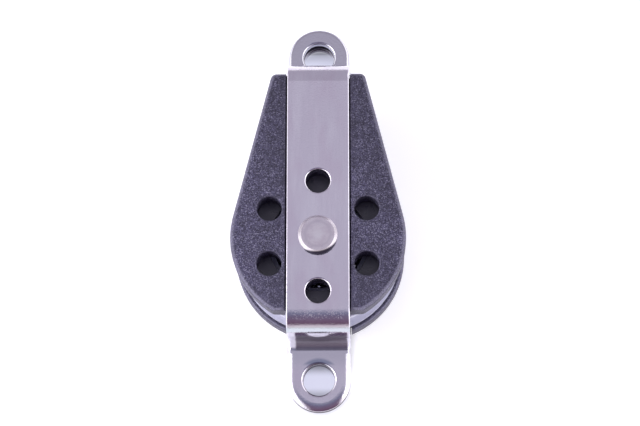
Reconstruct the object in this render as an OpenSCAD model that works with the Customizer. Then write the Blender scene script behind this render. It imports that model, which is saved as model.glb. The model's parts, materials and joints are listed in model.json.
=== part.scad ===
// A strapped single block with a head eye and a becket eye. It lies flat: X runs across the straps, Y
// runs from the becket to the head eye, and Z is the way the axle and the eye pins point. The origin is
// the centre of the head eye, half way between the two straps.

/* [Straps] */
// Width of each strap
strap_w = 10; // [9:0.5:12]
// Thickness of each strap
strap_t = 1.5; // [1.2:0.1:1.8]
// Rounding of the straps' long edges, down to the foot of each leg
strap_edge_r = 0.25; // [0.1:0.05:0.5]
// Rounding of the edges from there on, where the tabs are ground rounder
tab_edge_r = 0.6; // [0.3:0.05:0.6]
// Radius of the broad rounding ground on the becket tabs' outer edges
dress_r = 2; // [1.5:0.1:3]
// How far in from the edge that rounding starts
dress_w = 1.3; // [0.8:0.1:1.4]
// Distance from the turn's foot to the shoulder where it ends
dress_shoulder = 0.45; // [0.2:0.05:1]
// Outer radius of the bends at both ends of the flat
strap_bend_r = 3.6; // [2.8:0.1:3.8]
// How far the strap's face stands above the cheek's face
strap_proud = 0.2; // [0:0.05:0.4]
// Gap at each side of the strap in its channel
channel_gap = 0.2; // [0.1:0.05:0.5]
// Radius of the drain holes in the flat
strap_hole_r = 1.9; // [1.5:0.1:2.2]
// Rounding of the drain holes' outer rims
strap_hole_rim = 0.3; // [0.1:0.05:0.4]

/* [Eyes] */
// Radius of both eyes
eye_r = 2.5; // [2:0.1:3]
// Rounding of both rims of an eye
eye_rim = 0.4; // [0.1:0.05:0.5]
// Gap between the two head tabs
head_tab_gap = 1.4; // [0.8:0.1:2]
// Radius inside the turn from the leg into the head tab
head_turn_r = 0.5; // [0.3:0.1:0.8]
// Distance from the head leg to the rim of the head eye
head_land = 0.1; // [0.1:0.05:1]
// Radius inside the turn from the leg into the becket tab
becket_turn_r = 1.7; // [1:0.1:2.5]
// Distance from that turn to the rim of the becket eye
becket_land = 2.15; // [1:0.05:4]

/* [Cheeks] */
// Radius of the cheek's round end about the axle
cheek_r = 13.9; // [13.5:0.1:15]
// Thickness of each cheek
cheek_t = 4; // [3.5:0.1:5]
// Clear width between the cheeks
cheek_gap = 9.2; // [8.6:0.1:11]
// Distance from the axle to the cheek's head end
cheek_head = 27; // [25:0.2:32]
// Gap between that end and the inside of the straps' head legs
head_end_gap = 0.65; // [0.1:0.05:1]
// How far short of each of the strap's bends the channel's floor starts to slope away
seat_margin = 0.3; // [0.1:0.1:1]
// Gap at each side of the strap along those slopes
slope_gap = 0.1; // [0.05:0.05:0.2]
// Angle that each straight side leans in towards the head, in degrees
side_lean = 14.25; // [10:0.25:16]
// Radius of the two head corners, seen from above
corner_r = 1; // [1:0.1:2]
// Rounding of the cheek's outer edge
cheek_edge_r = 0.8; // [0.3:0.1:0.9]
// Rounding of its inner edge, which the line may rub on
cheek_mouth_r = 0.5; // [0.2:0.1:0.8]
// Chamfer along both edges of the strap's channel
channel_chamfer = 0.15; // [0.05:0.05:0.3]
// Radius of the holes round the axle
vent_r = 2; // [1.5:0.1:2.2]
// Distance from the axle to those holes
vent_pitch_r = 8.9; // [8.5:0.1:9.5]
// Chamfer on those holes' outer rims
vent_rim = 0.2; // [0.1:0.05:0.3]
// Distance from the front cheek's cut lower end to the inside of the strap's leg
cut_back = 2.05; // [1:0.05:2.5]
// Chamfer on the outer edge of that cut
cut_chamfer = 0.35; // [0.1:0.05:0.6]
// Radius of the spacer post's rounded ends
post_r = 2.6; // [2.2:0.1:2.8]
// Half the distance between those rounded ends
post_half = 3; // [2.5:0.1:3.5]
// Distance from the spacer post to the cheek's head end
post_inset = 0.8; // [0.5:0.1:1.5]
// Radius of the locating peg on each post
peg_r = 1.2; // [0.8:0.1:1.5]
// Length of the locating peg
peg_h = 1.4; // [1:0.1:2]
// Clearance round a peg and under its end
peg_gap = 0.1; // [0.05:0.05:0.2]

/* [Sheave] */
// Radius of the sheave's rims
sheave_r = 13.25; // [12.6:0.05:14]
// Clearance from the sheave to each cheek
sheave_side_gap = 0.3; // [0.2:0.05:0.5]
// Clearance from the sheave's rim to the straps' lower legs
sheave_leg_gap = 0.7; // [0.2:0.05:1]
// Radius of the rounded rope groove
groove_r = 3.3; // [2.8:0.1:3.4]
// Depth of the rope groove below the rims
groove_depth = 2.9; // [2.4:0.1:3]
// Rounding of the rims' outer edges
rim_edge_r = 0.35; // [0.1:0.05:0.4]

/* [Ball race] */
// Number of balls
ball_count = 12; // [8:1:12]
// Radius of each ball
ball_r = 1.5; // [1.2:0.1:1.5]
// Radius of the circle through the balls' centres
ball_pitch_r = 6.4; // [6.2:0.1:6.6]
// Running clearance between a ball and its tracks
ball_gap = 0.05; // [0.02:0.01:0.08]
// How deep a ball sits in each of its tracks
track_depth = 0.65; // [0.4:0.05:0.8]
// Radius of the recess in each side of the sheave
recess_r = 8; // [7.6:0.1:8.4]
// Depth of that recess
recess_depth = 1.6; // [1:0.1:2]

/* [Axle] */
// Outer radius of the axle sleeve
sleeve_r = 3; // [2.8:0.1:3.2]
// Radius of the rivet's shank
rivet_r = 2; // [1.6:0.1:2.2]
// Radius of the rivet's heads
rivet_head_r = 3.1; // [2.9:0.1:3.6]
// Height of the rivet's heads
rivet_head_h = 1.05; // [0.9:0.05:1.2]
// Height of the straight foot of each head
rivet_foot = 0.55; // [0.3:0.05:0.6]
// How far a head draws in from its foot to its face
rivet_draw = 0.46; // [0.3:0.02:0.6]
// Depth of the shallow dish pressed in its face
rivet_dish = 0.05; // [0.02:0.01:0.1]
// Radial clearance of every part that is slid on the axle
axle_fit = 0.05; // [0.02:0.01:0.1]

/* [Hidden] */
$fn = 120;
cut_over = 1;
vent_count = 6;
edge_steps = 6;

cheek_in = cheek_gap / 2;
cheek_out = cheek_in + cheek_t;
strap_out = cheek_out + strap_proud;
strap_in = strap_out - strap_t;
strap_half = strap_w / 2;
channel_half = strap_half + channel_gap;
slope_half = strap_half + slope_gap;
chamfer_face = channel_chamfer * sqrt(2);

// The strap's ends, as distances from the axle
head_leg = cheek_head + head_end_gap + strap_t;
head_flat = head_leg - strap_bend_r;
head_tab_top = head_tab_gap / 2 + strap_t;
head_eye = head_leg + head_land + eye_r;
becket_leg = sheave_r + sheave_leg_gap + strap_t;
becket_flat = becket_leg - strap_bend_r;
becket_tab_top = strap_t;
becket_foot = becket_leg + becket_turn_r;
becket_eye = becket_foot + becket_land + eye_r;

// The cheek's head corners, placed so that its straight sides lean in by side_lean
corner_y = cheek_head - corner_r;
corner_x = (cheek_r - corner_r - corner_y * sin(side_lean)) / cos(side_lean);
cut_y = becket_leg - strap_t - cut_back;
post_y = cheek_head - post_inset - post_r;

sheave_half = cheek_in - sheave_side_gap;
track_r = ball_r + ball_gap;
sheave_bore_r = ball_pitch_r + ball_r - track_depth;
race_r = ball_pitch_r - ball_r + track_depth;
sleeve_bore_r = rivet_r + axle_fit;

function direction(angle) = [cos(angle), sin(angle)];
function ball_name(i) = str("ball_", i < 9 ? "0" : "", i + 1);

// Everything below is drawn from the axle, and this puts the head eye at the origin.
module from_axle() {
    translate([0, -head_eye, 0]) children();
}

// Draws in the side view: local x runs along the block, local y is height and local z is the width.
module side_view() {
    rotate(a = 120, v = [1, 1, 1]) children();
}

// What is cut from a square outer edge to round it.
module edge_cut(r) {
    difference() {
        translate([-r, -r]) square(r + cut_over);
        translate([-r, -r]) circle(r);
    }
}

// A rectangle with rounded corners, its right side on the y axis.
module rounded_bar(thick, wide, r) {
    translate([r - thick, -wide / 2]) square([thick - 2 * r, wide]);
    translate([-thick, r - wide / 2]) square([thick, wide - 2 * r]);
    for (x = [r - thick, -r], y = [r - wide / 2, wide / 2 - r]) translate([x, y]) circle(r);
}

// A straight stretch of strap along local x, with its outer face on the x axis.
module strap_run(length, edge) {
    rotate([90, 0, 90]) linear_extrude(length) rounded_bar(strap_t, strap_w, edge);
}

// A quarter turn about the origin, its larger radius given.
module strap_turn(r, edge) {
    rotate_extrude(angle = 90) translate([r, 0]) rounded_bar(strap_t, strap_w, edge);
}

// The half-round end of a tab, about the eye's centre.
module tab_end(top, eye) {
    translate([0, eye, top - strap_t]) rotate_extrude(angle = 180) {
        square([strap_half - tab_edge_r, strap_t]);
        translate([0, tab_edge_r]) square([strap_half, strap_t - 2 * tab_edge_r]);
        for (z = [tab_edge_r, strap_t - tab_edge_r]) {
            translate([strap_half - tab_edge_r, z]) circle(tab_edge_r);
        }
    }
}

// One end of a strap: half the flat, the bend down, the leg, the turn out again, and the tab.
module strap_end(flat_end, leg, turn_r, top, eye) {
    bend_z = strap_out - strap_bend_r;
    turn_x = leg + turn_r;
    turn_z = top + turn_r;
    side_view() {
        translate([0, strap_out]) strap_run(flat_end, strap_edge_r);
        translate([flat_end, bend_z]) strap_turn(strap_bend_r, strap_edge_r);
        translate([leg, bend_z]) rotate(-90) strap_run(bend_z - turn_z, strap_edge_r);
        translate([turn_x, turn_z]) rotate(180) strap_turn(turn_r + strap_t, tab_edge_r);
        translate([turn_x, top]) strap_run(eye - turn_x, tab_edge_r);
    }
    tab_end(top, eye);
}

// What is cut from the outer edges of a tab, from a distance along it and round its end.
module tab_dressing(top, from, eye) {
    corner_x = strap_half + dress_r - dress_w;
    translate([0, eye, 0]) {
        for (side = [0, 1]) mirror([side, 0, 0]) rotate([90, 0, 0]) linear_extrude(eye - from) {
            translate([corner_x, top]) edge_cut(dress_r);
        }
        rotate_extrude(angle = 180) translate([corner_x, top]) edge_cut(dress_r);
    }
}

// The tool that cuts an eye, open above so that a pin can be put in past the leg.
module eye_cut(top, eye) {
    way_out = strap_out - top + cut_over;
    rim_r = eye_r + eye_rim;
    translate([0, eye, top - strap_t]) {
        translate([0, 0, -cut_over]) cylinder(h = strap_t + cut_over + way_out, r = eye_r);
        translate([0, 0, strap_t]) cylinder(h = head_turn_r, r = rim_r);
        for (side = [0, 1]) translate([0, 0, side * strap_t]) mirror([0, 0, side]) rotate_extrude() {
            difference() {
                square([rim_r, eye_rim]);
                translate([rim_r, eye_rim]) circle(eye_rim);
            }
        }
    }
}

// A hole through the flat, its rim rounded on the outer face.
module flat_hole(y, r, rim) {
    translate([0, y, strap_in - cut_over]) cylinder(h = strap_t + 2 * cut_over, r = r);
    translate([0, y, strap_out - rim]) rotate_extrude() difference() {
        square([r + rim, rim + cut_over]);
        translate([r + rim, 0]) circle(rim);
    }
}

module strap() {
    difference() {
        union() {
            strap_end(head_flat, head_leg, head_turn_r, head_tab_top, head_eye);
            mirror([0, 1, 0]) {
                strap_end(becket_flat, becket_leg, becket_turn_r, becket_tab_top, becket_eye);
            }
        }
        eye_cut(head_tab_top, head_eye);
        eye_cut(becket_tab_top, -becket_eye);
        mirror([0, 1, 0]) tab_dressing(becket_tab_top, becket_foot + dress_shoulder, becket_eye);
        for (side = [-1, 1]) flat_hole(side * vent_pitch_r, strap_hole_r, strap_hole_rim);
        translate([0, 0, strap_in - cut_over]) cylinder(h = strap_t + 2 * cut_over, r = sleeve_bore_r);
    }
}

module front_strap() {
    color("silver") from_axle() strap();
}

module rear_strap() {
    color("silver") from_axle() mirror([0, 0, 1]) strap();
}

// The points of a rounded edge: a quarter circle about a centre, from an angle on.
function edge_arc(centre, r, from) =
    [for (i = [0 : edge_steps]) centre + r * direction(from + 90 * i / edge_steps)];

// A round puck from the cheek's inner face to its outer one, with both edges rounded.
module cheek_puck(r) {
    mouth = edge_arc([r - cheek_mouth_r, cheek_in + cheek_mouth_r], cheek_mouth_r, -90);
    outer = edge_arc([r - cheek_edge_r, cheek_out - cheek_edge_r], cheek_edge_r, 0);
    rotate_extrude() polygon(concat([[0, cheek_in]], mouth, outer, [[0, cheek_out]]));
}

// The cheek's outline: its round end about the axle, drawn in to the two head corners.
module cheek_blank() {
    hull() {
        cheek_puck(cheek_r);
        for (side = [-1, 1]) translate([side * corner_x, corner_y, 0]) cheek_puck(corner_r, $fn = 48);
    }
}

// Half of the spacer between the cheeks: a post that meets its partner on the mid-plane.
module spacer_post() {
    post_top = cheek_in + cut_over;
    translate([0, post_y, 0]) {
        for (side = [-1, 1]) translate([side * post_half, 0, 0]) cylinder(h = post_top, r = post_r);
        translate([-post_half, -post_r, 0]) cube([2 * post_half, 2 * post_r, post_top]);
    }
}

// What both cheeks have: the strap's channel, the ring of holes, and a peg and a socket on the post.
module cheek() {
    difference() {
        union() {
            cheek_blank();
            spacer_post();
            translate([post_half, post_y, -peg_h]) cylinder(h = peg_h + cut_over, r = peg_r);
        }
        translate([-channel_half, -cheek_r - cut_over, strap_in]) {
            cube([2 * channel_half, cheek_r + cheek_head + 2 * cut_over, cheek_t]);
        }
        for (side = [-1, 1]) translate([side * channel_half, 0, cheek_out]) rotate([0, 45, 0]) {
            cube([chamfer_face, 4 * cheek_r, chamfer_face], center = true);
        }
        // Both ends of the channel slope away, to clear the inside of the strap's bends.
        channel_slope(head_flat - seat_margin);
        mirror([0, 1, 0]) channel_slope(becket_flat - seat_margin);
        for (i = [0 : vent_count - 1]) rotate([0, 0, 90 + i * 360 / vent_count]) vent_cut();
        translate([0, 0, cheek_in - cut_over]) cylinder(h = cheek_t + 2 * cut_over, r = sleeve_r + axle_fit);
        translate([-post_half, post_y, -cut_over]) {
            cylinder(h = cut_over + peg_h + peg_gap, r = peg_r + peg_gap);
        }
    }
}

// What is cut from the channel's floor, from a distance along it on.
module channel_slope(from) {
    translate([-slope_half, from, strap_in]) rotate([-45, 0, 0]) {
        cube([2 * slope_half, 2 * cheek_t, cheek_t]);
    }
}

module vent_cut() {
    translate([vent_pitch_r, 0, cheek_in - cut_over]) cylinder(h = cheek_t + 2 * cut_over, r = vent_r);
    translate([vent_pitch_r, 0, cheek_out - vent_rim]) {
        cylinder(h = 2 * vent_rim, r1 = vent_r, r2 = vent_r + 2 * vent_rim);
    }
}

// The front cheek is cut straight across below the sheave, so that the sheave's rim shows.
module front_cheek() {
    wide = 2 * (cheek_r + cut_over);
    color("dimgray") from_axle() difference() {
        cheek();
        translate([-wide / 2, -cut_y - wide, cheek_in - cut_over]) cube([wide, wide, cheek_t + 2 * cut_over]);
        translate([-wide / 2, -cut_y, cheek_out - cut_chamfer]) rotate([45, 0, 0]) {
            cube([wide, cheek_t, 2 * cheek_t]);
        }
    }
}

// The rear cheek keeps its full circle, with a notch for the strap's leg.
module rear_cheek() {
    color("dimgray") from_axle() mirror([0, 0, 1]) mirror([1, 0, 0]) difference() {
        cheek();
        translate([-channel_half, -cut_y - cheek_r, cheek_in - cut_over]) {
            cube([2 * channel_half, cheek_r, cheek_t + 2 * cut_over]);
        }
    }
}

module sheave() {
    color("lightgray") from_axle() rotate_extrude() difference() {
        translate([sheave_bore_r, -sheave_half]) square([sheave_r - sheave_bore_r, 2 * sheave_half]);
        translate([sheave_r - groove_depth + groove_r, 0]) circle(groove_r);
        translate([ball_pitch_r, 0]) circle(track_r);
        for (side = [0, 1]) mirror([0, side]) {
            translate([0, sheave_half - recess_depth]) square([recess_r, recess_depth + cut_over]);
            translate([sheave_r, sheave_half]) edge_cut(rim_edge_r);
        }
    }
}

module inner_race() {
    color("silver") from_axle() rotate_extrude() difference() {
        translate([sleeve_r + axle_fit, -cheek_in]) square([race_r - sleeve_r - axle_fit, cheek_gap]);
        translate([ball_pitch_r, 0]) circle(track_r);
    }
}

module axle_sleeve() {
    color("silver") from_axle() rotate_extrude() {
        translate([sleeve_bore_r, -strap_in]) square([sleeve_r - sleeve_bore_r, 2 * strap_in]);
    }
}

// One head's section from its dish to the shank: a shallow dish, the face, a slope and a straight foot.
function head_section(face_r, dish_z) = [
    [0, dish_z],
    [0.5 * face_r, dish_z],
    [0.9 * face_r, rivet_head_h],
    [face_r, rivet_head_h],
    [rivet_head_r, rivet_foot],
    [rivet_head_r, 0],
    [rivet_r, 0],
];

module axle_rivet() {
    head = head_section(rivet_head_r - rivet_draw, rivet_head_h - rivet_dish);
    upper = [for (point = head) [point.x, strap_out + point.y]];
    lower = [for (i = [len(head) - 1 : -1 : 0]) [upper[i].x, -upper[i].y]];
    color("gainsboro") from_axle() rotate_extrude() polygon(concat(upper, lower));
}

module ball(i) {
    color("white") from_axle() rotate([0, 0, i * 360 / ball_count]) {
        translate([ball_pitch_r, 0, 0]) sphere(ball_r);
    }
}

front_strap();
rear_strap();
front_cheek();
rear_cheek();
sheave();
inner_race();
axle_sleeve();
axle_rivet();
for (i = [0 : ball_count - 1]) ball(i);
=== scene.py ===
"""A strapped sailing block with a becket, lying on a white floor and seen from above.

Everything is in metres, in the frame of the CAD: the head eye is the origin, +Y runs from the becket eye to
it and +Z along the axle. Places in the materials are in millimetres along the same axes.
"""
import bpy
import json
import math
from mathutils import Matrix, Vector


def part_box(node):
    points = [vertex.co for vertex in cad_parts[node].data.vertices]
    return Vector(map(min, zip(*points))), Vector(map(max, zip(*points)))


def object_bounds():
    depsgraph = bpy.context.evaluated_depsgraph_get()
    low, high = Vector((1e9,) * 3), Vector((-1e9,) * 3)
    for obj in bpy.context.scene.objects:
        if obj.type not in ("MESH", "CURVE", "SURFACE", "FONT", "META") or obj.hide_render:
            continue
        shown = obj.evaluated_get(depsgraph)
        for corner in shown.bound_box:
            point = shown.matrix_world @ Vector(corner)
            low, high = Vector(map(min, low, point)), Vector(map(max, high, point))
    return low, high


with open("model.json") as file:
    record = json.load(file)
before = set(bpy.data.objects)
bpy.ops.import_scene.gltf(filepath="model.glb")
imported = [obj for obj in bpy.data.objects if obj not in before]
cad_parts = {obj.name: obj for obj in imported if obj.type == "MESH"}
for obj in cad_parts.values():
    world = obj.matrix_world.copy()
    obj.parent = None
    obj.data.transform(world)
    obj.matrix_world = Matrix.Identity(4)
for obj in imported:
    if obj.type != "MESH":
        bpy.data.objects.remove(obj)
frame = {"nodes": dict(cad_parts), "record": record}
cad_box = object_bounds()

MM = 0.001

# The photograph's width and focal length in pixels, and the camera found from the block's own holes, eyes
# and strap edges. Its angles are in degrees
PHOTO_WIDTH = 640
FOCAL_PIXELS = 1728.07
SENSOR_WIDTH = 36.0
CAMERA_TILT = 14.273
CAMERA_AZIMUTH = 1.4
CAMERA_ROLL = 0.038
CAMERA_DISTANCE = 272.70 * MM
AIM_FROM_AXLE = Vector((0.338, 3.588, 8.8)) * MM

# The Mix node's sockets: its factor, and the two inputs and the output for plain values and for colours
MIX_FACTOR = 0
VALUE_PAIR, VALUE_RESULT = (2, 3), 0
COLOUR_PAIR, COLOUR_RESULT = (6, 7), 2


def axle_place():
    """The axle's centre, from the box of the sheave that turns on it."""
    lowest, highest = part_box("sheave")
    return (Vector(lowest) + Vector(highest)) / 2


AXLE = axle_place()


class Tree:
    """A node tree that is written as calls: each adds its nodes and returns the last one or its result."""

    def __init__(self, tree):
        self.tree = tree
        self.tree.nodes.clear()

    def add(self, kind, inputs=None, **settings):
        made = self.tree.nodes.new(kind)
        for name, value in settings.items():
            setattr(made, name, value)
        for name, value in (inputs or {}).items():
            self.feed(made, name, value)
        return made

    def feed(self, made, name, value):
        socket = made.inputs[name]
        if isinstance(value, bpy.types.NodeSocket):
            self.tree.links.new(value, socket)
        else:
            socket.default_value = value

    def math(self, operation, first, second=0.0, clamp=False):
        made = self.add("ShaderNodeMath", {0: first, 1: second}, operation=operation, use_clamp=clamp)
        return made.outputs["Value"]

    def times(self, first, *others):
        for other in others:
            first = self.math("MULTIPLY", first, other)
        return first

    def total(self, first, *others):
        for other in others:
            first = self.math("ADD", first, other)
        return first

    def less(self, first, second):
        return self.math("SUBTRACT", first, second)

    def larger(self, first, second):
        return self.math("MAXIMUM", first, second)

    def unsigned(self, value):
        return self.math("ABSOLUTE", value)

    def ramp(self, value, from_low, from_high, to_low, to_high):
        """A smooth step of value between two limits."""
        inputs = {"Value": value, "From Min": from_low, "From Max": from_high}
        inputs |= {"To Min": to_low, "To Max": to_high}
        return self.add("ShaderNodeMapRange", inputs, interpolation_type="SMOOTHSTEP").outputs["Result"]

    def band(self, value, step_up, step_down, level=1.0):
        """The given level between two smooth steps, and nothing outside them."""
        return self.times(self.ramp(value, *step_up, 0.0, level), self.ramp(value, *step_down, 1.0, 0.0))

    def between(self, factor, first, second):
        """A plain value that goes from the first to the second."""
        first_socket, second_socket = VALUE_PAIR
        made = self.add("ShaderNodeMix", {MIX_FACTOR: factor, first_socket: first, second_socket: second})
        return made.outputs[VALUE_RESULT]

    def mix(self, factor, first, second, blend="MIX"):
        made = self.add("ShaderNodeMix", data_type="RGBA", blend_type=blend)
        self.feed(made, MIX_FACTOR, factor)
        self.feed(made, COLOUR_PAIR[0], first)
        self.feed(made, COLOUR_PAIR[1], second)
        return made.outputs[COLOUR_RESULT]

    def layers(self, colour, coats):
        """Lays coats over a colour in turn. Each coat is how much of it shows, and its colour."""
        for share, coat in coats:
            colour = self.mix(share, colour, coat)
        return colour

    def shade(self, colour, brightness):
        grey = self.add("ShaderNodeCombineXYZ", {"X": brightness, "Y": brightness, "Z": brightness})
        return self.mix(1.0, colour, grey.outputs["Vector"], "MULTIPLY")

    def axes(self, vector):
        made = self.add("ShaderNodeSeparateXYZ", {"Vector": vector})
        return [made.outputs[name] for name in "XYZ"]

    def facing(self):
        """The direction that the surface faces, along each axis."""
        return self.axes(self.add("ShaderNodeNewGeometry").outputs["Normal"])

    def millimetres(self, stretch=(1.0, 1.0, 1.0)):
        """The piece's own coordinates in millimetres, stretched along each axis."""
        coords = self.add("ShaderNodeTexCoord").outputs["Object"]
        scaled = self.add("ShaderNodeMapping", {"Vector": coords, "Scale": [s / MM for s in stretch]})
        return scaled.outputs["Vector"]

    def vector(self, operation, first, second):
        return self.add("ShaderNodeVectorMath", {0: first, 1: second}, operation=operation)

    def distance(self, first, second):
        return self.vector("DISTANCE", first, second).outputs["Value"]

    def radius(self, shift=(0.0, 0.0)):
        """Distance in millimetres from the axle's line, or from a line beside it."""
        centre = (AXLE.x / MM + shift[0], AXLE.y / MM + shift[1], 0.0)
        flat = self.vector("MULTIPLY", self.millimetres(), (1.0, 1.0, 0.0)).outputs["Vector"]
        return self.distance(flat, centre)

    def noise(self, vector, scale, detail=2.0, roughness=0.5):
        inputs = {"Vector": vector, "Scale": scale, "Detail": detail, "Roughness": roughness}
        return self.add("ShaderNodeTexNoise", inputs).outputs["Fac"]

    def cells(self, vector, scale):
        """A random value for each cell of a Voronoi pattern."""
        made = self.add("ShaderNodeTexVoronoi", {"Vector": vector, "Scale": scale})
        return self.add("ShaderNodeSeparateColor", {"Color": made.outputs["Color"]}).outputs["Red"]

    def bump(self, height, strength, depth, normal=None):
        inputs = {"Height": height, "Strength": strength, "Distance": depth}
        if normal is not None:
            inputs["Normal"] = normal
        return self.add("ShaderNodeBump", inputs).outputs["Normal"]


def new_material(name):
    made = bpy.data.materials.new(name)
    made.use_nodes = True
    return made, Tree(made.node_tree)


def surface(tree, **inputs):
    """The Principled shader and the material's output."""
    shader = tree.add("ShaderNodeBsdfPrincipled", {name.replace("_", " "): v for name, v in inputs.items()})
    tree.add("ShaderNodeOutputMaterial", {"Surface": shader.outputs["BSDF"]})


# Places on the straps in millimetres. A pair is where a smooth step starts and ends, and two pairs are the
# steps up and down at both sides of a band. First those along the block, from the head eye
HEAD_TAB = (-3.2, -2.4)
HEAD_BEND = (-3.5, -3.2)
BEND_PITS = ((-45.5, -44.7), (-44.1, -43.8))
BEND_LIP = ((-46.95, -46.8), (-46.35, -46.2))
LENS = ((-47.4, -47.25), (-47.05, -46.9))
CORNERS = ((-48.7, -48.2), (-47.0, -46.85))
CREASE = ((-48.95, -48.75), (-47.28, -47.03))
CREASE_UPPER_LINE = (-47.5, -47.25)
CREASE_MIDDLE_STRIP = (-47.95, -47.75)
CREASE_LOWER_LINE = (-48.4, -48.1)
BECKET_TAB = ((-52.5, -49.5), (-48.9, -48.5))
ABOVE_BECKET_EYE = (-51.4, -50.8)
# Across the block from its middle, but the corners from the crease's own middle, a little to its right
CREASE_CENTRE = 0.45
CORNER_SIDES = (3.95, 4.35)
LENS_SIDES = (1.5, 2.1)
PITTED_SIDES = (3.9, 4.4)
# Up from the plane between the straps. The lens's foot rises by its curve for each square millimetre across
LENS_FOOT = (3.9, 4.9)
LENS_CURVE = 0.6
HEAD_BEND_HEIGHT = (4.0, 5.0)
HEAD_BORE_TOP = (0.3, 0.6)
BECKET_BORE_TOP = (1.38, 1.48)
TAB_INSIDE = (0.75, 0.9)
# Out from the middle of an eye
HEAD_BORE = (2.58, 2.72)
BECKET_BORE = (2.62, 2.78)
BLUE_PATCH = (3.1, 3.7)
# From the axle to the becket eye
BECKET_EYE = -21.8
# How far a wall of an eye faces along the block or up, where 1 is straight towards the head or straight up
FACES_BECKET = (-0.80, -0.30)
FACES_HEAD = (0.5, 0.9)
UPRIGHT = (0.6, 0.85)
# What the painted shade in the crease and between the tabs, and the painted highlight on the becket's turn,
# add to the roughness of polished strip
PAINTED_SHADE_ROUGHNESS = 0.25
HIGHLIGHT_PATCH_ROUGHNESS = 0.55


def strap_finish(tree, streaks):
    """The straps' own colour: faint pink stains, duller scratches along the strip, and brighter places."""
    stains = tree.noise(tree.millimetres((0.35, 0.16, 0.35)), 1.0, 3.0, 0.55)
    rubbed_and_highlight = tree.noise(tree.millimetres((0.45, 0.09, 0.45)), 1.0, 3.0, 0.5)
    clean = (0.64, 0.61, 0.68, 1.0)
    return tree.layers(clean, [
        (tree.ramp(stains, 0.42, 0.68, 0.0, 0.75), (0.62, 0.565, 0.645, 1.0)),
        (tree.ramp(streaks, 0.5, 0.8, 0.0, 0.4), (0.60, 0.575, 0.645, 1.0)),
        (tree.ramp(rubbed_and_highlight, 0.42, 0.75, 0.0, 0.8), (0.70, 0.68, 0.74, 1.0)),
    ])


def becket_turn(tree, x, y, z):
    """Where painted shade fills the crease of the becket's turn, and where a painted highlight lies on its
    lens and corners.
    """
    across = tree.unsigned(x)
    corners = tree.ramp(tree.unsigned(tree.less(x, CREASE_CENTRE)), *CORNER_SIDES, 0.0, 1.0)
    height = tree.less(z, tree.times(across, across, LENS_CURVE))
    lens = tree.times(tree.ramp(height, *LENS_FOOT, 0.0, 1.0), tree.ramp(across, *LENS_SIDES, 1.0, 0.0))
    crease = tree.times(tree.band(y, *CREASE), tree.less(1.0, corners), tree.less(1.0, lens))
    rubbed_and_highlight = tree.larger(tree.times(lens, tree.band(y, *LENS)), tree.times(corners, tree.band(y, *CORNERS)))
    return crease, rubbed_and_highlight


def crease_depth(tree, y):
    """How much painted shade fills the crease: least towards the head, and most along its two lines."""
    upper = tree.times(
        tree.ramp(y, *CREASE_UPPER_LINE, 0.88, 0.45), tree.ramp(y, *CREASE_MIDDLE_STRIP, 0.8, 1.0)
    )
    return tree.total(upper, tree.ramp(y, *CREASE_LOWER_LINE, 0.2, 0.0))


def bore_shade(tree, z, from_head_eye, from_becket_eye):
    """Where painted shade darkens both eyes: on the upright walls that face along the block."""
    _, along, up = tree.facing()
    in_head = tree.times(
        tree.ramp(from_head_eye, *HEAD_BORE, 1.0, 0.0), tree.ramp(z, *HEAD_BORE_TOP, 1.0, 0.0)
    )
    in_becket = tree.times(
        tree.ramp(from_becket_eye, *BECKET_BORE, 1.0, 0.0), tree.ramp(z, *BECKET_BORE_TOP, 1.0, 0.0)
    )
    shaded = tree.larger(tree.ramp(along, *FACES_BECKET, 1.0, 0.0), tree.ramp(along, *FACES_HEAD, 0.0, 0.7))
    upright = tree.ramp(tree.unsigned(up), *UPRIGHT, 1.0, 0.0)
    return tree.times(tree.larger(in_head, in_becket), shaded, upright)


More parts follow.
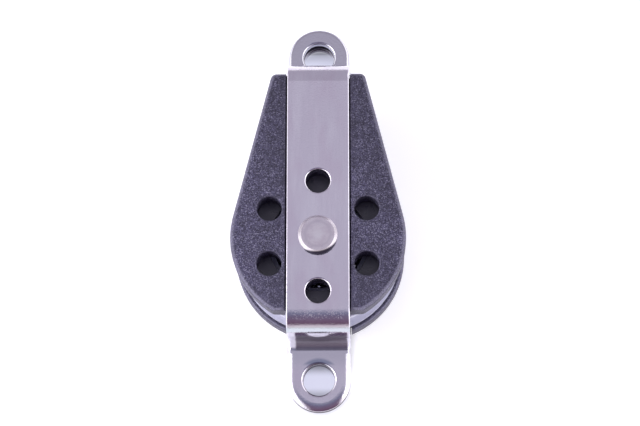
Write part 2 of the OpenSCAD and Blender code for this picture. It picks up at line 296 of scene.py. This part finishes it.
def strap_steel():
    """Polished strip: fine scratches, an orange peel left by tumbling, pits in one bend, painted shade in its
    crease, eyes and between its tabs, and painted highlights on its bends.
    """
    made, tree = new_material("strap_steel")
    x, y, z = tree.axes(tree.millimetres())
    streaks = tree.noise(tree.millimetres((6.0, 0.3, 6.0)), 1.0, 4.0, 0.6)
    peel = tree.noise(tree.millimetres(), 3.4, 2.0, 0.6)
    from_head_eye = tree.radius((0.0, -AXLE.y / MM))
    from_becket_eye = tree.radius((0.0, BECKET_EYE))
    tabs = tree.larger(tree.ramp(y, *HEAD_TAB, 0.0, 1.0), tree.band(y, *BECKET_TAB, 0.9))
    crease, rubbed_and_highlight = becket_turn(tree, x, y, z)
    # Painted highlight along the head bend's edge
    head_bend_highlight = tree.times(tree.ramp(y, *HEAD_BEND, 0.0, 1.0), tree.ramp(z, *HEAD_BEND_HEIGHT, 0.0, 1.0))
    # A darker blue patch above the becket's eye
    blue_patch = tree.times(
        tree.ramp(from_becket_eye, *BLUE_PATCH, 1.0, 0.0), tree.ramp(y, *ABOVE_BECKET_EYE, 0.0, 1.0)
    )
    # Painted shade on the tabs' faces between the two straps, where they touch
    shade_between_tabs = tree.ramp(tree.unsigned(z), *TAB_INSIDE, 0.9, 0.0)
    colour = tree.layers(strap_finish(tree, streaks), [
        (tabs, (0.53, 0.52, 0.58, 1.0)),
        # Painted shade in the crease of the becket's turn
        (tree.times(crease, crease_depth(tree, y)), (0.17, 0.155, 0.20, 1.0)),
        # Painted highlight on the turn's lens and corners
        (rubbed_and_highlight, (0.76, 0.75, 0.83, 1.0)),
        (tree.band(y, *BEND_LIP, 0.8), (0.475, 0.525, 0.56, 1.0)),
        (head_bend_highlight, (0.93, 0.91, 0.96, 1.0)),
        (blue_patch, (0.29, 0.31, 0.40, 1.0)),
        # Painted shade on the eyes' walls
        (bore_shade(tree, z, from_head_eye, from_becket_eye), (0.08, 0.06, 0.08, 1.0)),
        (shade_between_tabs, (0.04, 0.034, 0.05, 1.0)),
    ])
    polish = tree.ramp(streaks, 0.3, 0.75, 0.10, 0.18)
    shade_roughness = tree.times(tree.larger(crease, shade_between_tabs), PAINTED_SHADE_ROUGHNESS)
    pitted = tree.times(tree.band(y, *BEND_PITS), tree.ramp(tree.unsigned(x), *PITTED_SIDES, 1.0, 0.0))
    pits = tree.times(pitted, tree.ramp(tree.cells(tree.millimetres(), 5.5), 0.6, 0.95, 0.0, 0.24))
    surface(
        tree, Base_Color=colour, Metallic=1.0,
        Normal=tree.bump(streaks, 0.05, 0.02 * MM, tree.bump(peel, 0.4, 0.045 * MM)),
        Roughness=tree.total(polish, shade_roughness, pits, tree.times(rubbed_and_highlight, HIGHLIGHT_PATCH_ROUGHNESS)),
    )
    return made


# Places on the rivet, in millimetres out from the axle: its painted highlight in the middle, its ring and its
# slope
RIVET_CENTRE = (0.3, 1.1)
RIVET_RING = ((1.6, 2.0), (2.0, 2.5))
RIVET_SLOPE = (2.55, 2.65)
# The painted shade at its foot is outside a circle whose middle is beside the axle
FOOT_SHADE_MIDDLE = (-0.27, 1.0)
FOOT_SHADE_EDGE = (3.66, 3.90)


def rivet_steel():
    """The rivet's head: a painted highlight in its middle, rings from the punch, and painted shade against
    its foot on the becket's side.
    """
    made, tree = new_material("rivet_steel")
    radius = tree.radius()
    mottle = tree.noise(tree.millimetres(), 0.9, 3.0, 0.55)
    grain = tree.noise(tree.millimetres(), 9.0, 3.0, 0.6)
    # Painted shade against the head's foot, on the becket's side
    foot_shade = tree.ramp(tree.radius(FOOT_SHADE_MIDDLE), *FOOT_SHADE_EDGE, 0.0, 0.97)
    clean = (0.71, 0.665, 0.70, 1.0)
    colour = tree.layers(clean, [
        (tree.ramp(mottle, 0.35, 0.7, 0.0, 0.8), (0.63, 0.57, 0.62, 1.0)),
        # Painted highlight in the middle of the head
        (tree.ramp(radius, *RIVET_CENTRE, 0.6, 0.0), (0.80, 0.78, 0.80, 1.0)),
        (tree.band(radius, *RIVET_RING, 0.7), (0.60, 0.55, 0.60, 1.0)),
        (foot_shade, (0.03, 0.024, 0.045, 1.0)),
    ])
    surface(
        tree, Base_Color=colour, Metallic=1.0,
        Normal=tree.bump(grain, 0.04, 0.02 * MM, tree.bump(mottle, 0.15, 0.2 * MM)),
        Roughness=tree.total(
            tree.ramp(grain, 0.3, 0.7, 0.20, 0.27), tree.ramp(radius, *RIVET_SLOPE, 0.0, 0.10)
        ),
    )
    return made


def race_steel():
    """Turned steel inside the block, with rings from the tool."""
    made, tree = new_material("race_steel")
    rings = tree.noise(tree.millimetres((1.0, 1.0, 8.0)), 2.0, 3.0, 0.5)
    colour = tree.mix(rings, (0.48, 0.48, 0.52, 1.0), (0.60, 0.60, 0.63, 1.0))
    surface(
        tree, Base_Color=colour, Metallic=1.0, Normal=tree.bump(rings, 0.1, 0.02 * MM),
        Roughness=tree.ramp(rings, 0.3, 0.7, 0.2, 0.35),
    )
    return made


def ball_steel():
    """Polished bearing balls with a film of grease."""
    made, tree = new_material("ball_steel")
    film = tree.noise(tree.millimetres(), 1.5, 3.0, 0.5)
    colour = tree.mix(film, (0.66, 0.66, 0.69, 1.0), (0.74, 0.74, 0.76, 1.0))
    surface(tree, Base_Color=colour, Metallic=1.0, Roughness=tree.ramp(film, 0.3, 0.7, 0.06, 0.16))
    return made


# Places on the cheeks in millimetres: along the block from the head eye, across it, and out from the axle
UPPER_CHEEK = (-30.0, -10.0)
LOWER_CHEEK = (-43.0, -37.0)
LOWER_EDGE_HIGHLIGHT = (-41.0, -35.0)
LEFT_CHEEK = (-13.0, -5.0)
STRAP_CHANNEL = (5.3, 6.2)
HOLE_CIRCLE = (11.3, 12.3)
# How far up or down a rounded edge faces, where 1 is straight up or down
ROUNDED_EDGE = ((0.30, 0.60), (0.84, 0.985))


def cheek_edge_highlight(tree, grain, across, along):
    """Where a painted highlight lies on the cheeks' rounded edges: less at the strap, the holes and the head.
    """
    upward = tree.unsigned(tree.facing()[2])
    return tree.times(
        tree.band(upward, *ROUNDED_EDGE),
        tree.ramp(grain, 0.35, 0.6, 0.25, 0.7),
        tree.ramp(tree.unsigned(across), *STRAP_CHANNEL, 0.4, 1.0),
        tree.ramp(tree.radius(), *HOLE_CIRCLE, 0.3, 1.0),
        tree.ramp(along, *LOWER_EDGE_HIGHLIGHT, 1.0, 0.6),
    )


def cheek_plastic():
    """Charcoal moulding with a fine spark texture: light and dark specks over soft, uneven patches, with
    painted shade towards the head and the becket's end, painted light on the left, and a painted highlight on
    its rounded edges.
    """
    made, tree = new_material("cheek_plastic")
    here = tree.millimetres()
    across, along, _ = tree.axes(here)
    grain = tree.noise(here, 5.2, 3.0, 0.8)
    fine = tree.noise(here, 11.0, 2.0, 0.6)
    patches = tree.noise(here, 0.8, 3.0, 0.6)
    cloud = tree.noise(here, 0.12, 2.0, 0.5)
    specks = tree.cells(here, 7.5)
    darkest = (0.010, 0.0085, 0.022, 1.0)
    colour = tree.layers(darkest, [
        (tree.ramp(grain, 0.34, 0.68, 0.0, 1.0), (0.085, 0.078, 0.135, 1.0)),
        (tree.ramp(specks, 0.80, 0.95, 0.0, 0.75), (0.20, 0.19, 0.27, 1.0)),
        (tree.ramp(specks, 0.14, 0.22, 0.8, 0.0), (0.004, 0.003, 0.008, 1.0)),
        (tree.ramp(along, *LOWER_CHEEK, 0.35, 0.0), (0.052, 0.048, 0.083, 1.0)),
    ])
    # Random patches and cloud, with painted shade towards the head and at the becket's end, and painted light
    # on the left
    brightness = tree.times(
        tree.ramp(patches, 0.3, 0.7, 0.78, 1.32),
        tree.ramp(along, *UPPER_CHEEK, 1.0, 0.70),
        tree.ramp(cloud, 0.3, 0.7, 0.85, 1.15),
        tree.ramp(across, *LEFT_CHEEK, 1.35, 1.0),
        tree.ramp(along, *LOWER_CHEEK, 0.84, 1.0),
    )
    colour = tree.shade(colour, brightness)
    # Painted highlight on the rounded edges
    colour = tree.mix(cheek_edge_highlight(tree, grain, across, along), colour, (0.26, 0.25, 0.34, 1.0))
    surface(
        tree, Base_Color=colour, Specular_IOR_Level=0.6, Specular_Tint=(0.86, 0.82, 1.0, 1.0),
        Normal=tree.bump(fine, 0.5, 0.05 * MM, tree.bump(grain, 0.6, 0.08 * MM)),
        Roughness=tree.ramp(fine, 0.3, 0.7, 0.42, 0.62),
    )
    return made


# The painted shade on the sheave's flanks ends inside its rim, in millimetres out from the axle, and lies on
# the flanks, in millimetres up or down from the plane between the straps
FLANK_SHADE_EDGE = (11.0, 12.4)
FLANK = (3.2, 3.8)


def sheave_plastic():
    """Grey acetal, smooth from the lathe, its flanks darkened by painted shade inside the rim, where they lie
    between the cheeks.
    """
    made, tree = new_material("sheave_plastic")
    rings = tree.noise(tree.millimetres((0.6, 0.6, 6.0)), 1.5, 3.0, 0.5)
    clean = tree.mix(rings, (0.50, 0.50, 0.62, 1.0), (0.58, 0.58, 0.70, 1.0))
    shaded_flank = tree.mix(rings, (0.10, 0.095, 0.125, 1.0), (0.135, 0.13, 0.16, 1.0))
    height = tree.unsigned(tree.axes(tree.millimetres())[2])
    # Painted shade on the flanks, which lie between the cheeks
    flank_shade = tree.times(tree.ramp(tree.radius(), *FLANK_SHADE_EDGE, 1.0, 0.0), tree.ramp(height, *FLANK, 0.0, 1.0))
    surface(
        tree, Base_Color=tree.mix(flank_shade, clean, shaded_flank), Normal=tree.bump(rings, 0.08, 0.03 * MM),
        Roughness=tree.ramp(rings, 0.3, 0.7, 0.25, 0.4),
    )
    return made


# A cheek's edges that turn by less than this many degrees are shaded smoothly, and its facets' corners are
# joined within the gap
SMOOTH_ANGLE = 32.0
WELD_GAP = 0.001 * MM


def smooth_by_angle(limit):
    """A geometry node group that smooths every edge flatter than limit, in degrees."""
    group = bpy.data.node_groups.new("smooth_by_angle", "GeometryNodeTree")
    group.interface.new_socket("Geometry", in_out="INPUT", socket_type="NodeSocketGeometry")
    group.interface.new_socket("Geometry", in_out="OUTPUT", socket_type="NodeSocketGeometry")
    tree = Tree(group)
    start = tree.add("NodeGroupInput").outputs["Geometry"]
    angle = tree.add("GeometryNodeInputMeshEdgeAngle").outputs["Unsigned Angle"]
    flat = tree.add(
        "FunctionNodeCompare", {"A": angle, "B": math.radians(limit)},
        data_type="FLOAT", operation="LESS_THAN",
    )
    faces = tree.add("GeometryNodeSetShadeSmooth", {"Geometry": start, "Shade Smooth": True}, domain="FACE")
    edges = tree.add(
        "GeometryNodeSetShadeSmooth",
        {"Geometry": faces.outputs["Geometry"], "Shade Smooth": flat.outputs["Result"]},
        domain="EDGE",
    )
    tree.add("NodeGroupOutput", {"Geometry": edges.outputs["Geometry"]})
    return group


def smooth_moulding(piece, group):
    """Joins the facets of a moulded node and shades its round edges smoothly."""
    weld = piece.modifiers.new("weld", "WELD")
    weld.merge_threshold = WELD_GAP
    smooth = piece.modifiers.new("smooth", "NODES")
    smooth.node_group = group
    normals = piece.modifiers.new("normals", "WEIGHTED_NORMAL")
    normals.keep_sharp = True
    normals.weight = 100


def dress_nodes():
    """Gives every CAD node the material of its slot."""
    makers = {
        "strap_steel": strap_steel,
        "rivet_steel": rivet_steel,
        "race_steel": race_steel,
        "ball_steel": ball_steel,
        "cheek_plastic": cheek_plastic,
        "sheave_plastic": sheave_plastic,
    }
    materials = {slot: make() for slot, make in makers.items()}
    for part in frame["record"]["subparts"]:
        piece = frame["nodes"][part["node"]]
        piece.data.materials.clear()
        piece.data.materials.append(materials[part["material_slot"]])
    moulded = smooth_by_angle(SMOOTH_ANGLE)
    for name in ("front_cheek", "rear_cheek"):
        smooth_moulding(frame["nodes"][name], moulded)


def make_camera():
    """The photograph's own view, from the fitted angles and distance."""
    azimuth, tilt, roll = (math.radians(a) for a in (CAMERA_AZIMUTH, CAMERA_TILT, CAMERA_ROLL))
    back = Vector((
        math.sin(azimuth),
        -math.sin(tilt) * math.cos(azimuth),
        math.cos(tilt) * math.cos(azimuth),
    ))
    right = Vector((0.0, 1.0, 0.0)).cross(back).normalized()
    right = Matrix.Rotation(roll, 3, back) @ right
    up = back.cross(right)
    data = bpy.data.cameras.new("camera")
    data.sensor_width = SENSOR_WIDTH
    data.lens = FOCAL_PIXELS * SENSOR_WIDTH / PHOTO_WIDTH
    data.clip_start = 0.01
    data.clip_end = 20.0
    camera = bpy.data.objects.new("camera", data)
    turn = Matrix((right, up, back)).transposed().to_4x4()
    camera.matrix_world = Matrix.Translation(AXLE + AIM_FROM_AXLE + back * CAMERA_DISTANCE) @ turn
    bpy.context.scene.collection.objects.link(camera)
    bpy.context.scene.camera = camera


SOFTBOX_SIZE = (0.3, 0.25)
SOFTBOX_TINT = (1.0, 0.98, 1.03)


def make_softbox(name, azimuth, elevation, distance, radiance):
    """An area light aimed at the axle. Azimuth 0 is towards +X and 90 towards +Y, in degrees."""
    a, e = math.radians(azimuth), math.radians(elevation)
    towards = Vector((math.cos(a) * math.cos(e), math.sin(a) * math.cos(e), math.sin(e)))
    data = bpy.data.lights.new(name, "AREA")
    data.shape = "RECTANGLE"
    data.size, data.size_y = SOFTBOX_SIZE
    data.energy = radiance * math.pi * SOFTBOX_SIZE[0] * SOFTBOX_SIZE[1]
    data.color = SOFTBOX_TINT
    light = bpy.data.objects.new(name, data)
    light.location = AXLE + towards * distance
    light.rotation_mode = "QUATERNION"
    light.rotation_quaternion = towards.to_track_quat("Z", "Y")
    bpy.context.scene.collection.objects.link(light)


def make_lights():
    make_softbox("left_box", azimuth=190.0, elevation=34.0, distance=0.45, radiance=3.4)
    make_softbox("right_box", azimuth=-10.0, elevation=34.0, distance=0.6, radiance=1.6)


# The studio from the far horizon, over the top, down to the photographer's side: degrees from
# the zenith towards the becket's end, and the light that comes from there
STUDIO = [
    (-90, (0.95, 0.95, 1.00)),  # white paper swept up behind the head eye
    (-84, (0.53, 0.50, 0.60)),  # far wall
    (-25, (0.53, 0.50, 0.60)),
    (-17, (0.69, 0.66, 0.78)),  # ceiling, lit from below
    (-4, (0.62, 0.60, 0.72)),
    (5, (0.29, 0.30, 0.41)),  # camera and its hood
    (14, (0.25, 0.25, 0.37)),
    (22, (0.22, 0.19, 0.29)),  # photographer
    (52, (0.22, 0.14, 0.22)),
    (60, (0.18, 0.11, 0.17)),
    (65, (0.18, 0.11, 0.17)),
    (72, (0.70, 0.62, 0.68)),  # near edge of the paper
    (90, (1.05, 1.02, 1.05)),
]
LEFT_WALL = (1.93, 1.92, 2.00)
RIGHT_WALL = (2.05, 2.03, 2.12)
# The walls' soft edges as directions across the block, to which this share of those along it is added
LEFT_WALL_EDGE = (-0.72, -0.40)
RIGHT_WALL_EDGE = (0.47, 0.74)
WALL_LEAN = 0.17


def make_world():
    """A tent with bright side walls. The camera and photographer show as a dark band beyond the becket."""
    world = bpy.data.worlds.new("tent")
    world.use_nodes = True
    tree = Tree(world.node_tree)
    x, y, z = tree.axes(tree.add("ShaderNodeTexCoord").outputs["Generated"])
    turn = tree.math("ARCTAN2", tree.times(y, -1.0), z)
    # The ramp covers half a turn, with the zenith in its middle
    place = tree.math("ADD", tree.math("DIVIDE", turn, math.pi), 0.5, clamp=True)
    studio = tree.add("ShaderNodeValToRGB", {"Fac": place})
    ramp = studio.color_ramp
    while len(ramp.elements) < len(STUDIO):
        ramp.elements.new(0.5)
    for element, (degrees, colour) in zip(ramp.elements, STUDIO):
        element.position = degrees / 180.0 + 0.5
        element.color = (*colour, 1.0)
    side = tree.total(x, tree.times(y, WALL_LEAN))
    colour = tree.layers(studio.outputs["Color"], [
        (tree.ramp(side, *LEFT_WALL_EDGE, 1.0, 0.0), (*LEFT_WALL, 1.0)),
        (tree.ramp(side, *RIGHT_WALL_EDGE, 0.0, 1.0), (*RIGHT_WALL, 1.0)),
    ])
    shader = tree.add("ShaderNodeBackground", {"Color": colour, "Strength": 1.0})
    tree.add("ShaderNodeOutputWorld", {"Surface": shader.outputs["Background"]})
    bpy.context.scene.world = world


# The paper under the block. A painted shadow dims it near a line along the block's middle, which starts and
# ends by the eyes, and it glows beyond the edge
DIM_LINE_START = AXLE.y - 21.0 * MM
DIM_LINE_END = 1.5 * MM
DIM_EDGE = (3.0 * MM, 6.5 * MM)
GLOW = 0.45
# Places along the block where the painted shadow's brightness changes: at the head eye, at the becket eye,
# and between them
HEAD_EYE_FADE = (2.4 * MM, 5.2 * MM)
HEAD_EYE_FAR_EDGE = (4.55 * MM, 4.95 * MM)
BECKET_EYE_FADE = (AXLE.y - 19.6 * MM, AXLE.y - 17.5 * MM)
BECKET_EYE_NEAR_EDGE = (AXLE.y - 22.7 * MM, AXLE.y - 21.2 * MM)
BECKET_TO_HEAD = (AXLE.y, -3.0 * MM)


def eye_brightness(tree, along):
    """How bright the painted shadow on the paper is along the block. Most of what is seen of it is under the
    two eyes.
    """
    head = tree.times(
        tree.ramp(along, *HEAD_EYE_FADE, 0.98, 0.52), tree.ramp(along, *HEAD_EYE_FAR_EDGE, 1.0, 0.5)
    )
    becket = tree.times(
        tree.ramp(along, *BECKET_EYE_FADE, 1.0, 0.3), tree.ramp(along, *BECKET_EYE_NEAR_EDGE, 0.56, 1.0)
    )
    return tree.between(tree.ramp(along, *BECKET_TO_HEAD, 0.0, 1.0), becket, head)


def paper_white():
    """White paper over a light table. It glows, but a dim, blue painted shadow covers it where the block lies
    on it.
    """
    made, tree = new_material("paper_white")
    here = tree.add("ShaderNodeTexCoord").outputs["Object"]
    _, along, height = tree.axes(here)
    held = tree.math("MINIMUM", tree.larger(along, DIM_LINE_START), DIM_LINE_END)
    nearest = tree.add("ShaderNodeCombineXYZ", {"Y": held, "Z": height}).outputs["Vector"]
    lit = tree.ramp(tree.distance(here, nearest), *DIM_EDGE, 0.0, 1.0)
    paper = tree.mix(tree.noise(here, 3.0), (0.83, 0.83, 0.85, 1.0), (0.86, 0.86, 0.88, 1.0))
    # Painted shadow where the block lies
    dim = tree.shade((0.64, 0.66, 0.76, 1.0), eye_brightness(tree, along))
    surface(
        tree, Base_Color=tree.mix(lit, dim, paper), Roughness=0.9, Emission_Color=(1.0, 1.0, 1.0, 1.0),
        Emission_Strength=tree.times(lit, GLOW),
    )
    return made


FLOOR_HALF = 3.0


def make_floor():
    """A plain floor at the block's lowest point."""
    half, low = FLOOR_HALF, cad_box[0].z
    mesh = bpy.data.meshes.new("floor")
    corners = [(-half, -half, low), (half, -half, low), (half, half, low), (-half, half, low)]
    mesh.from_pydata(corners, [], [(0, 1, 2, 3)])
    mesh.materials.append(paper_white())
    floor = bpy.data.objects.new("floor", mesh)
    bpy.context.scene.collection.objects.link(floor)


make_camera()
make_world()
make_lights()
make_floor()
dress_nodes()
bpy.context.scene.view_settings.view_transform = "Standard"
